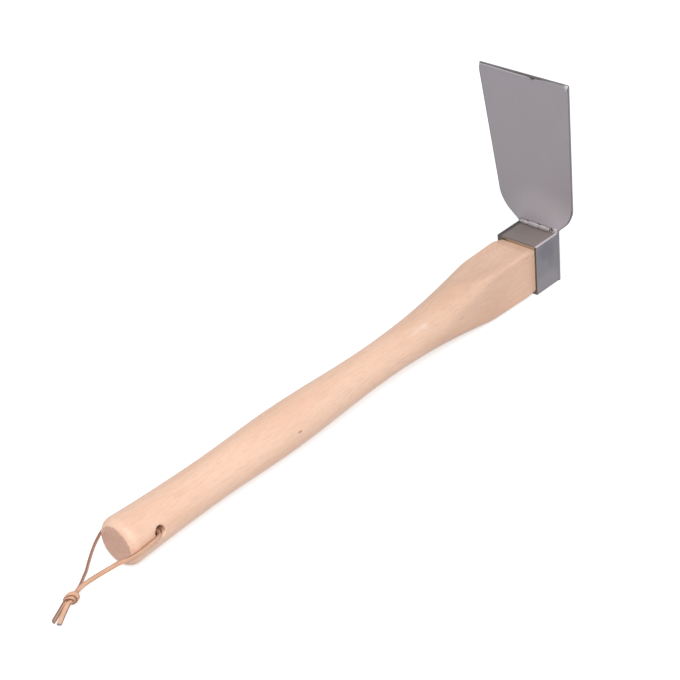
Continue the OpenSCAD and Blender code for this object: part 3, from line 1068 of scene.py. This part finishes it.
@dataclass
class Lace:
    """The leather lace: through the hole, two legs, an overhand knot and two tails."""

    width: float = 3.1
    thick: float = 1.8
    butt_x: float = -217.0
    near_route: tuple[Point, ...] = (
        (23.8, -12.5, 18.9), (23.4, -14.6, 18.9), (22.2, -16.5, 18.9), (20.3, -17.7, 18.8),
        (18.2, -18.1, 18.6), (12.6, -18.1, 18.1), (6.6, -18.1, 17.5), (0.7, -17.2, 16.6),
        (-4.2, -15.6, 15.8), (-10, -13.1, 15.3), (-16.8, -11, 14.2), (-22.7, -9.5, 13.4),
        (-27.7, -8.2, 12.5), (-32.8, -6.7, 11.2), (-36.8, -5.6, 9.6), (-40.3, -4.8, 7.2),
    )
    far_route: tuple[Point, ...] = (
        (23.7, 12.5, 15.8), (23.3, 14.6, 15.6), (22.1, 16.5, 15.5), (20.2, 17.7, 15.6),
        (18.1, 18.1, 15.9), (12.4, 18.2, 16.5), (6.4, 18.2, 16.9), (3.4, 17.6, 16.7), (0.5, 16.5, 16.1),
        (-5.2, 13.9, 15), (-11.4, 10.9, 12.7), (-17.5, 7.6, 10), (-21.7, 4.9, 8.7), (-25.8, 2.7, 8),
        (-31, 0, 7), (-35.2, -1.7, 6.4), (-39.3, -2.4, 5.8),
    )
    near_tail: tuple[Point, ...] = ((-45.4, -4.3, 3.7), (-51.9, -7.5, 2.6), (-61, -12.8, 1.6))
    far_tail: tuple[Point, ...] = ((-45.4, -1.9, 4.2), (-52.9, -4.7, 2.8), (-61.6, -8.3, 1.8))
    outer_turn: tuple[Point, ...] = (
        (-38.3, -4.9, 7.8), (-39.8, -3.9, 5.5), (-41.9, -3.2, 3.8), (-43.4, -3.5, 3.0), (-42.9, -5.0, 2.9),
        (-41.6, -6.6, 3.9), (-40.6, -7.6, 5.5), (-40.4, -7.7, 7.3), (-41.3, -6.5, 9.0), (-42.8, -4.9, 9.3),
        (-44.4, -3.1, 8.1), (-45.3, -1.3, 5.6), (-44.7, -0.7, 2.9), (-43.0, -1.6, 2.4), (-42.4, -3.9, 3.3),
        (-44.2, -4.6, 3.9), (-46.2, -4.6, 3.5),
    )
    inner_turn: tuple[Point, ...] = (
        (-38.9, -3.7, 7.2), (-40.6, -2.8, 5.1), (-42.3, -1.9, 3.5), (-43.8, -2.1, 2.7), (-43.2, -3.5, 2.7),
        (-42.1, -5.4, 3.9), (-42.1, -6.2, 5.6), (-43.1, -6.0, 7.2), (-44.5, -4.7, 7.6), (-45.6, -3.1, 6.5),
        (-45.9, -1.8, 4.4), (-45.3, -1.4, 3.0), (-45.5, -1.8, 3.8), (-46.6, -2.2, 4.0),
    )
    knot_way: Point = (-0.93, -0.25, -0.25)
    # A quarter of the section, as shares of the width and of the thickness
    section: tuple[Span, ...] = ((0.5, 0.18), (0.44, 0.42), (0.30, 0.5), (0.0, 0.5))
    leg_gap: float = 1.5
    tail_gap: float = 1.0
    knot_gap: float = 0.7
    knot_narrows: Span = (0.92, 0.86)
    knot_turns_over: Span = (0.0, 0.22)
    edgewise: Point = (0.60, 0.55, -0.58)
    leg_turns_over: Span = (0.10, 0.35)
    shade_angle: float = 40.0
    # The far strand is painted darker as painted shade; the near leg's edges are darker towards the hole, their own
    # colour with painted shade there; and the knot's edges are dark all along
    shaded_strand: LeatherFinish = LeatherFinish((0.660, 0.440, 0.355), (0.560, 0.350, 0.275), edge_share=(0.95, 0.95))
    grain_side: LeatherFinish = LeatherFinish(edge_share=(0.80, 0.40))
    dark_edged: LeatherFinish = LeatherFinish(edge_share=(1.0, 1.0))
    pieces: list[Object] = field(default_factory=list)

    def curve(self, route: Sequence[Floats], gap: float) -> list[Vector]:
        """A smooth line through a route's points.

        Args:
            route: The points, from the foot of the butt face, in millimetres.
            gap: Rough distance between the line's points, in millimetres.

        Returns:
            The line's points, in millimetres in the row frame.
        """
        pts = [Vector(p) + Vector((self.butt_x, 0, 0)) for p in route]
        pts = [2 * pts[0] - pts[1], *pts, 2 * pts[-1] - pts[-2]]
        line = []
        for a, b, c, d in zip(pts, pts[1:], pts[2:], pts[3:]):
            steps = max(1, round((c - b).length / gap))
            for i in range(steps):
                t = i / steps
                line.append(0.5 * (
                    2 * b + (c - a) * t + (2 * a - 5 * b + 4 * c - d) * t ** 2 + (3 * b - a - 3 * c + d) * t ** 3
                ))
        return [*line, pts[-2]]

    def sweep(
        self, name: str, line: Sequence[Vector], across: Vector, into: Vector | None = None,
        turns_over: Span = (0.0, 1.0), narrow: float = 1.0,
    ) -> Object:
        """Sweep the lace's rounded section along a line.

        Args:
            name: Name of the piece.
            line: The line, in millimetres in the row frame.
            across: The direction of the lace's width.
            into: The direction that it turns into, if it does.
            turns_over: Shares of the line between which it turns.
            narrow: Factor on the width.

        Returns:
            The lace as a closed mesh, with a UV map in metres.
        """
        ring = [*self.section, *[(-a, b) for a, b in self.section[-2::-1]]]
        ring = [*ring, *[(-a, -b) for a, b in ring]]
        mesh = bmesh.new()
        total = sum((b - a).length for a, b in zip(line, line[1:]))
        rounds, run, lengths = [], 0.0, []
        for i, point in enumerate(line):
            if i:
                run += (point - line[i - 1]).length
            side = across.lerp(into, share_of(run / total, *turns_over)) if into else across
            way = (line[min(i + 1, len(line) - 1)] - line[max(i - 1, 0)]).normalized()
            flat = way.cross(side).normalized()
            wide = flat.cross(way) * (self.width * narrow)
            rounds.append([mesh.verts.new((point + wide * a + flat * (b * self.thick)) * MM) for a, b in ring])
            lengths.append(run * MM)
        uv = mesh.loops.layers.uv.new("lace")
        n = len(ring)
        step = 2 * (self.width + self.thick) * MM / n
        for i in range(len(rounds) - 1):
            for j in range(n):
                k = (j + 1) % n
                face = mesh.faces.new((rounds[i][j], rounds[i][k], rounds[i + 1][k], rounds[i + 1][j]))
                for loop, end, turn in zip(face.loops, (i, i, i + 1, i + 1), (j, j + 1, j + 1, j)):
                    loop[uv].uv = (lengths[end], turn * step)
        for row in (rounds[0], rounds[-1]):
            face = mesh.faces.new(row)
            face.material_index = 1
            for loop in face.loops:
                loop[uv].uv = (loop.vert.co.y, loop.vert.co.z)
        bmesh.ops.recalc_face_normals(mesh, faces=mesh.faces)
        data = bpy.data.meshes.new(name)
        mesh.to_mesh(data)
        mesh.free()
        obj = linked(name, data)
        Workpiece(name, obj).shade(self.shade_angle)
        dress(obj, LeatherFinish(), CutLeatherFinish())
        return obj

    def knot(self) -> Object:
        """Tie the overhand knot: each strand's turn is swept, and the two are joined in one piece.

        Returns:
            The knot.
        """
        way = Vector(self.knot_way).normalized()
        outer, inner = (
            self.sweep(name, self.curve(route, self.knot_gap), UP, way, self.knot_turns_over, narrow)
            for name, route, narrow in zip(
                ("lace_overhand_knot", "lace_knot_inner"), (self.outer_turn, self.inner_turn), self.knot_narrows,
            )
        )
        select(outer, inner)
        bpy.ops.object.join()
        return outer

    def finish(self, obj: Object, node: str, leather: LeatherFinish | None = None) -> Object:
        """Let a stretch stand for its CAD node, with another leather if one is given.

        Args:
            obj: The stretch.
            node: The CAD node.
            leather: Its leather, where it isn't the usual one.

        Returns:
            The stretch.
        """
        if leather:
            obj.data.materials[0] = finish_of(leather)
        self.pieces.append(settle(obj, "lace_leather", node))
        return obj

    def build(self) -> list[Object]:
        """Make the lace.

        Returns:
            Its pieces.
        """
        near, far = self.curve(self.near_route, self.leg_gap), self.curve(self.far_route, self.leg_gap)
        middle = self.curve((self.near_route[0], self.far_route[0]), self.leg_gap)
        near_tail, far_tail = self.curve(self.near_tail, self.tail_gap), self.curve(self.far_tail, self.tail_gap)
        edgewise, over = Vector(self.edgewise), self.leg_turns_over
        self.finish(self.sweep("lace_through_hole", middle, UP), "lace_in_hole")
        near_leg = self.finish(self.sweep("lace_leg_near", near, UP), "lace_near_leg", self.grain_side)
        far_leg = self.finish(self.sweep("lace_leg_far", far, UP, edgewise, over), "lace_far_leg", self.shaded_strand)
        knot = self.finish(self.knot(), "lace_knot", self.dark_edged)
        tail_a = self.finish(self.sweep("lace_tail_near", near_tail, Vector((0, 1, 0))), "lace_near_tail")
        tail_b = self.finish(self.sweep("lace_tail_far", far_tail, UP), "lace_far_tail", self.shaded_strand)
        return self.pieces


# The handle


@dataclass
class TurnedHandle:
    """The beech handle, turned at the grip and left square at the socket."""

    length: float = 434.0
    face_r: float = 12.4
    butt_r: float = 17.0
    edge_l: float = 6.5
    grip: Span = (84.0, 15.2)
    swell: Span = (146.0, 16.4)
    waist: Span = (246.0, 13.7)
    stock: Span = (32.5, 37.6)
    stock_r: float = 1.5
    square_from: float = 362.0
    corner_spare: float = 8.0
    mouth_x: float = 189.0
    end_x: float = 214.2
    ease_l: float = 9.0
    tenon_w: float = 31.4
    tenon_top: float = 37.4
    floor_z: float = 2.0
    hole_d: float = 8.0
    hole_at: float = 24.0
    hole_turn: float = 9.0
    hole_sides: int = 64
    hole_reach: float = 30.0
    sides: int = 128
    edge_rings: int = 8
    grip_rings: int = 113
    ring_gap: float = 3.5
    overrun: float = 4.0
    room_w: float = 60.0
    room_h: float = 70.0
    room_z: float = 20.0
    room_spare: float = 10.0
    edge_steps: int = 4
    voxel: float = 0.8
    sanding: float = 0.5
    sanded: int = 5
    flare_sanded: int = 70
    flare: Span = (55.0, 178.0)
    flare_fades: Span = (25.0, 35.0)

    @property
    def butt_x(self) -> float:
        """Where the butt face stands."""
        return -self.length / 2

    @property
    def slope(self) -> float:
        """Fall of the turned axis towards the butt, in radians."""
        rise = self.floor_z + self.stock[1] / 2 - self.butt_r
        return math.atan(rise / (self.mouth_x - self.butt_x - self.edge_l))

    def axis(self, s: float) -> Vector:
        """The turned axis at a distance from the butt."""
        start = Vector((self.butt_x, 0, self.butt_r - self.edge_l * math.tan(self.slope)))
        return start + s * Vector((math.cos(self.slope), 0, math.sin(self.slope)))

    def radius(self, s: float) -> float:
        """The turned radius at a distance from the butt.

        Args:
            s: The distance in millimetres.

        Returns:
            The radius in millimetres.
        """
        if s < self.edge_l:
            fall = self.butt_r - self.face_r
            arc = (self.edge_l ** 2 + fall ** 2) / (2 * fall)
            return self.butt_r - arc + math.sqrt(arc ** 2 - (self.edge_l - s) ** 2)
        (g, gr), (w, wr), (t, tr) = self.grip, self.swell, self.waist
        if s < g:
            return gr + (self.butt_r - gr) * ((g - s) / (g - self.edge_l)) ** 2
        if s < w:
            return smooth_between(gr, wr, (s - g) / (w - g))
        if s < t:
            return smooth_between(wr, tr, (s - w) / (t - w))
        corner = math.hypot(*self.stock) / 2 - (math.sqrt(2) - 1) * self.stock_r
        return min(tr + (corner - tr) * ((s - t) / (self.square_from - t)) ** 2, corner + self.corner_spare)

    def turned(self) -> Workpiece:
        """The turned body: a disc drawn out ring by ring.

        Returns:
            The body.
        """
        tilt = 90 - math.degrees(self.slope)
        piece = Workpiece.disc("beech_handle", self.axis(0), self.face_r, (0, tilt, 0), self.sides)
        n = self.edge_rings
        stations = [self.edge_l * (1 - math.cos(math.pi / 2 * i / n)) for i in range(1, n + 1)]
        stations += [self.edge_l + self.ring_gap * i for i in range(1, self.grip_rings + 1)]
        stations.append(self.length + self.overrun)
        with piece.editing():
            piece.pick_all()
            last, r = 0.0, self.face_r
            for s in stations:
                piece.extrude(self.axis(s) - self.axis(last))
                piece.resize((self.radius(s) / r,) * 3, self.axis(s))
                last, r = s, self.radius(s)
        return piece.outward()

    def envelope(self) -> Workpiece:
        """Room for the turned grip, and the eased square stock behind the waist.

        Returns:
            The room as a block, drawn in to the stock.
        """
        waist_x = self.butt_x + self.waist[0]
        (w, h), z0 = self.stock, self.floor_z
        side, rise, middle = self.room_w / 2, self.room_h / 2, self.room_z
        low = (self.butt_x - self.room_spare, -side, middle - rise)
        piece = Workpiece.block("stock_envelope", low, (waist_x, side, middle + rise))
        with piece.editing():
            piece.pick(lambda c, n: n.x > ALONG)
            piece.extrude((0, 0, 0))
            piece.resize((1, w / self.room_w, h / self.room_h), (waist_x, 0, middle))
            piece.move((0, 0, (z0 + z0 + h) / 2 - middle))
            piece.extrude((self.mouth_x - self.ease_l - waist_x, 0, 0))
            piece.extrude((self.ease_l, 0, 0))
            piece.resize((1, self.tenon_w / w, (self.tenon_top - z0) / h), (self.mouth_x, 0, z0))
            piece.extrude((self.end_x - self.mouth_x, 0, 0))
        with piece.editing(Part.EDGE):
            piece.pick(lambda c, d: c.x > waist_x + 1 and abs(d.x) > ALONG)
            piece.bevel(self.stock_r, self.edge_steps)
        return piece.outward()

    def drill(self) -> Workpiece:
        """The rod whose shape is the cross hole.

        Returns:
            The rod.
        """
        place = self.axis(self.hole_at)
        foot = place - UP * self.hole_reach
        piece = Workpiece.disc("hole_rod", foot, self.hole_d / 2, (0, 0, 0), self.hole_sides)
        with piece.editing():
            piece.pick_all()
            piece.extrude(UP * (2 * self.hole_reach))
        return piece.outward().turn(90 - self.hole_turn, "X", place)

    def build(self) -> Object:
        """Turn, square and drill the handle, then sand its edges.

        Returns:
            The handle.
        """
        piece = self.turned().cut(self.envelope(), "INTERSECT").cut(self.drill(), "DIFFERENCE")
        piece.apply("REMESH", mode="VOXEL", voxel_size=self.voxel * MM, use_smooth_shade=True)
        piece.apply("SMOOTH", factor=self.sanding, iterations=self.sanded)
        flare = piece.obj.vertex_groups.new(name="flare")
        (start, stop), (rise, fall) = self.flare, self.flare_fades
        for vert in piece.obj.data.vertices:
            x = vert.co.x / MM
            weight = share_of(x, start, start + rise) * share_of(x, stop, stop - fall)
            flare.add([vert.index], weight, "REPLACE")
        piece.apply("SMOOTH", factor=self.sanding, iterations=self.flare_sanded, vertex_group="flare")
        dress(piece.obj, BeechFinish())
        return settle(piece.obj, "beech", "handle")


# The head


@dataclass
class Head:
    """The steel head: a bent blade sheet, a strap round the socket, its top plate and the welds."""

    back_x: float = 217.0
    sheet: float = 2.0
    blade_h: float = 129.5
    tip_w: float = 79.5
    base_w: float = 63.0
    shoulder_r: float = 24.0
    shoulder_angle: float = 47.0
    neck_r: float = 3.0
    tip_r: float = 2.0
    lean: float = 5.5
    bevel_h: float = 2.5
    edge_t: float = 0.9
    socket_w: float = 36.0
    socket_h: float = 40.5
    socket_l: float = 28.0
    bend_r: float = 0.5
    ground_r: float = 1.2
    plate_drop: float = 0.8
    plate_gap: float = 0.1
    seam: float = 0.8
    soft: float = 0.22
    rim_soft: float = 0.35
    plate_soft: float = 0.3
    dark_rim_w: float = 0.40
    # From how many degrees an edge is rounded, and from how many its shading is sharp
    rim_angle: float = 28.0
    soft_angle: float = 40.0
    shade_angle: float = 30.0
    bead_angle: float = 35.0
    round_steps: int = 6
    shoulder_steps: int = 20
    room_spare: float = 5.0
    # By which directions and heights the faces of the sheet, its rim, its sides and its edges are told apart
    flat: float = 0.999
    inset_from: float = 20.0
    rim_room: Span = (1.0, 8.0)
    rim_near_to: float = 30.0
    side_angle: float = 0.97
    bevel_angle: float = 0.85
    wall_angle: float = 0.7
    slack: float = 0.2
    lip_angle: float = -0.3
    edge_depth: float = 0.3
    beads: tuple[Point, ...] = ((12.9, 5.8, 2.3), (3.7, 6.9, 2.7), (-5.9, 7.2, 2.5))
    bead_ends: Span = (16.4, -11.0)
    bead_flat: float = 0.9
    bead_place: Span = (0.2, 1.7)
    bead_sink: Span = (0.6, 0.3)
    bead_rings: int = 24

    @property
    def mouth_x(self) -> float:
        """Where the socket's mouth is."""
        return self.back_x - self.socket_l

    @property
    def plate_x(self) -> float:
        """Front face of the end plate."""
        return self.back_x - self.sheet

    @property
    def plate_top(self) -> float:
        """Height of the top plate's upper face."""
        return self.socket_h - self.plate_drop

    def height(self, point: Vector) -> float:
        """Height of a point along the blade, from the bend."""
        lean = math.radians(self.lean)
        return (point - Vector((self.back_x, 0, self.socket_h))).dot(Vector((-math.sin(lean), 0, math.cos(lean))))

    @property
    def front(self) -> Vector:
        """The way that the blade's front looks."""
        return Vector((-math.cos(math.radians(self.lean)), 0, -math.sin(math.radians(self.lean))))

    def blade_finish(self, face: Face) -> Metal:
        """The finish of one of the blade's faces.

        Args:
            face: The face.

        Returns:
            That of the dark band along the rim, the ground bevel, the socket's end, the sheared sides or the sheet.
        """
        middle, flatness = face.center / MM, face.normal.dot(self.front)
        up, (low, high) = self.height(middle), self.rim_room
        if flatness > self.flat and len(face.vertices) == 4 and low < up < self.blade_h - high:
            return Metal.OUTLINE if middle.y > 0 or up < self.rim_near_to else Metal.BLADE
        if up > self.blade_h - self.bevel_h - self.slack and self.bevel_angle < flatness < self.side_angle:
            return Metal.GROUND
        if middle.z < self.socket_h - self.sheet and abs(face.normal.y) > self.wall_angle:
            return Metal.SOCKET
        on_side = abs(flatness) < self.side_angle and abs(face.normal.x) <= self.side_angle
        return Metal.SIDES if on_side else Metal.BLADE

    def strap_finish(self, face: Face) -> Metal:
        """The finish of one of the strap's faces.

        Args:
            face: The face.

        Returns:
            That of the mouth's edge, a wall's upper edge or the sheet; the near wall's upper edge takes a painted
            highlight, and the far edges take painted shade.
        """
        near = face.center.y < 0
        if face.normal.x < self.lip_angle:
            return Metal.LIP if near else Metal.SHADED_EDGE
        if face.center.z / MM > self.socket_h - self.edge_depth:
            return Metal.EDGE if near else Metal.SHADED_EDGE
        return Metal.SOCKET

    def blank(self) -> Workpiece:
        """The blade with its shoulders, neck and end plate, with sharp corners.

        Returns:
            The blank, in its place.
        """
        t, h, lean = self.sheet, self.blade_h, math.radians(self.lean)
        piece = Workpiece.block("blade_sheet", (-t, -self.base_w / 2, 0), (0, self.base_w / 2, h))
        angle = math.radians(self.shoulder_angle)
        foot = self.neck_r * math.tan(angle / 2)
        with piece.editing(Part.VERT):
            piece.pick(lambda p, n: p.z > h - 1)
            piece.resize((1, self.tip_w / self.base_w, 1), (0, 0, h))
            for side in (-1, 1):
                neck = (0, side * self.socket_w / 2, foot)
                piece.slice_off(neck, (0, side * math.cos(angle), -math.sin(angle)))
            piece.slice_off((0, 0, foot), (0, 0, -1))
            piece.slice_off((-t, 0, h - self.bevel_h), (-self.bevel_h, 0, t - self.edge_t))
        with piece.editing():
            piece.pick(lambda c, n: n.z < -ALONG)
            piece.extrude((0, 0, -foot))
        with piece.editing(Part.VERT):
            piece.pick(lambda p, n: p.z < 0.1 and p.x < -t / 2)
            piece.move((0, 0, -t * math.tan(lean / 2)))
        bend = Matrix.Translation(mm((self.back_x, 0, self.socket_h)))
        piece.obj.data.transform(bend @ Matrix.Rotation(-lean, 4, "Y"))
        with piece.editing():
            piece.pick(lambda c, n: n.z < -ALONG)
            piece.extrude((0, 0, -self.socket_h))
            piece.resize((1, 1, 0), (0, 0, 0))
        return piece

    def blade(self) -> Object:
        """The blade, its neck and the end plate, from one sheet.

        Returns:
            The blade.
        """
        piece, h = self.blank(), self.blade_h
        side_lean = math.degrees(math.atan((self.tip_w - self.base_w) / 2 / h))
        # Each corner's radius and turn, where its edges are across and up the blade, and its steps
        rounds = (
            (self.tip_r, 90 + side_lean, (30, math.inf), (h - 4, math.inf), self.round_steps),
            (self.shoulder_r, self.shoulder_angle - side_lean, (22, math.inf), (8, h / 2), self.shoulder_steps),
            (self.neck_r, self.shoulder_angle, (-1, 22), (0.5, 4), self.round_steps),
        )
        for radius, turn, (u0, u1), (v0, v1), steps in rounds:
            with piece.editing(Part.EDGE):
                piece.pick(lambda c, d: (
                    abs(d.y) < 0.1 and abs(d.x) > 0.3 and u0 < abs(c.y) < u1 and v0 < self.height(c) < v1
                ))
                piece.bevel(radius * math.tan(math.radians(turn) / 2), steps)
        piece.outward().soften(self.rim_soft, self.rim_angle)
        with piece.editing():
            piece.pick(lambda c, n: n.dot(self.front) > self.flat and self.height(c) > self.inset_from)
            bpy.ops.mesh.inset(thickness=self.dark_rim_w * MM, use_even_offset=True)
        piece.shade(self.shade_angle)
        paint(piece.obj, self.blade_finish, Metal.BLADE, Metal.SIDES, Metal.GROUND, Metal.SOCKET, Metal.OUTLINE)
        return settle(piece.obj, "blade_steel", "blade")

    def strap(self) -> Object:
        """The strap that makes the socket's walls and floor.

        Returns:
            The strap.
        """
        half, t, top, spare = self.socket_w / 2, self.sheet, self.socket_h, self.room_spare
        piece = Workpiece.block(
            "socket_strap_sheet", (self.mouth_x, -half, 0), (self.plate_x - self.seam, half, top),
        )
        room = Workpiece.block(
            "socket_room", (self.mouth_x - spare, t - half, t), (self.back_x + spare, half - t, top + spare),
        )
        for work, radius in ((piece, self.ground_r), (room, self.bend_r)):
            with work.editing(Part.EDGE):
                work.pick(lambda c, d: abs(d.x) > ALONG and c.z < t + 1)
                work.bevel(radius, self.round_steps)
        piece.cut(room, "DIFFERENCE").outward().soften(self.soft, self.soft_angle).shade(self.shade_angle)
        paint(piece.obj, self.strap_finish, Metal.SOCKET, Metal.EDGE, Metal.SHADED_EDGE, Metal.LIP)
        return settle(piece.obj, "socket_steel", "socket_strap")

    def top_plate(self) -> Object:
        """The plate that closes the socket's top, set between the walls.

        Returns:
            The plate.
        """
        half, top = self.socket_w / 2 - self.sheet - self.plate_gap, self.plate_top
        piece = Workpiece.block("socket_top_sheet", (self.mouth_x, -half, top - self.sheet), (self.plate_x, half, top))
        piece.soften(self.plate_soft, self.soft_angle).shade(self.shade_angle)
        paint(
            piece.obj, lambda face: Metal.LIP if face.normal.x < self.lip_angle else Metal.TOP, Metal.TOP, Metal.LIP,
        )
        return settle(piece.obj, "socket_steel", "socket_top_plate")

    def corner_beads(self) -> Object:
        """The weld runs in the corner between the blade and the top plate.

        Returns:
            The runs as one piece.
        """
        (ahead, rise), (back, below), (left, right) = self.bead_place, self.bead_sink, self.bead_ends
        first = None
        for i, (y, long, r) in enumerate(self.beads):
            centre = (self.plate_x + ahead, y, self.plate_top + rise)
            bead = Workpiece.ball(f"corner_bead_{i}", centre, (self.bead_flat * r, long, r), self.bead_rings)
            with bead.editing():
                bead.slice_off((self.plate_x + back, 0, 0), (1, 0, 0))
                bead.slice_off((0, 0, self.plate_top - below), (0, 0, -1))
                bead.slice_off((0, left, 0), (0, 1, 0))
                bead.slice_off((0, right, 0), (0, -1, 0))
            first = first.cut(bead, "UNION") if first else bead
        first.obj.name = "corner_weld_beads"
        first.outward().shade(self.bead_angle)
        dress(first.obj, Metal.BEAD)
        return settle(first.obj, "weld_steel", "corner_weld")

    def build(self) -> list[Object]:
        """Make the head's pieces, and dress the nodes that stay.

        Returns:
            The pieces.
        """
        made = [self.blade(), self.strap(), self.top_plate(), self.corner_beads()]
        dress(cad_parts["strap_weld"], Metal.SEAM)
        dress(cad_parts["retaining_screw"], Metal.SCREW)
        return made


# The studio


@dataclass
class Studio:
    """Floor, light and camera."""

    eye: Point = (-0.80577, -0.79904, 0.76117)
    right: Point = (0.66573, -0.741533, -0.08326)
    up: Point = (0.442127, 0.302105, 0.844545)
    lens: float = 105.088
    sensor: float = 36.0
    clip: Span = (0.05, 60.0)
    floor_size: float = 24.0
    sky: float = 0.464
    shine: float = 0.8
    lamps: tuple[tuple[Point, float, float], ...] = (((-1.0, -1.05, 1.7), 1.6, 37.0),)

    def camera(self) -> None:
        """Put the camera where the photograph was taken from."""
        right, up = Vector(self.right).normalized(), Vector(self.up)
        up = (up - right * up.dot(right)).normalized()
        data = bpy.data.cameras.new("camera")
        data.lens, data.sensor_width = self.lens, self.sensor
        data.clip_start, data.clip_end = self.clip
        obj = linked("camera", data)
        turn = Matrix((right, up, right.cross(up))).transposed().to_4x4()
        obj.matrix_world = Matrix.Translation(self.eye) @ turn
        bpy.context.scene.camera = obj

    def floor(self) -> None:
        """Lay the pale floor."""
        select()
        bpy.ops.mesh.primitive_plane_add(size=self.floor_size, location=(0, 0, 0))
        floor = bpy.context.object
        floor.name = "studio_floor"
        dress(floor, FloorFinish())

    def light(self) -> None:
        """Hang a soft overhead lamp in an even sky."""
        for i, (place, size, power) in enumerate(self.lamps):
            data = bpy.data.lights.new(f"lamp_{i}", "AREA")
            data.shape, data.size, data.energy = "DISK", size, power
            lamp = linked(f"lamp_{i}", data)
            lamp.location = place
            lamp.rotation_euler = (-Vector(place)).to_track_quat("-Z", "Y").to_euler()
        s = Shader("studio_sky", "worlds")
        rays = s.add("ShaderNodeLightPath")
        mirrored = s.math("MAXIMUM", rays["Is Glossy Ray"], rays["Is Transmission Ray"])
        # Strength 1 is white to the camera
        power: Any = self.sky
        for seen, strength in ((mirrored, self.shine), (rays["Is Camera Ray"], 1.0)):
            power = s.add("ShaderNodeMix", {"Factor": seen, "A": power, "B": strength})[0]
        white = s.add("ShaderNodeBackground", {"Color": (1, 1, 1), "Strength": power})[0]
        bpy.context.scene.world = s.end(white, "World")

    def build(self) -> None:
        """Set up the studio."""
        bpy.context.scene.view_settings.view_transform = "Standard"
        self.camera()
        self.floor()
        self.light()


def main() -> None:
    """Build the studio and the hoe, and report each piece."""
    logging.basicConfig(level=logging.INFO, format="%(name)s: %(message)s")
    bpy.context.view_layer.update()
    Studio().build()
    lace = Lace().build()
    handle = TurnedHandle().build()
    head = Head().build()
    for piece in (*lace, handle, *head):
        triangles = sum(len(p.vertices) - 2 for p in piece.data.polygons)
        log.info("%s: %d triangles", piece.name, triangles)


if __name__ == "__main__":
    main()
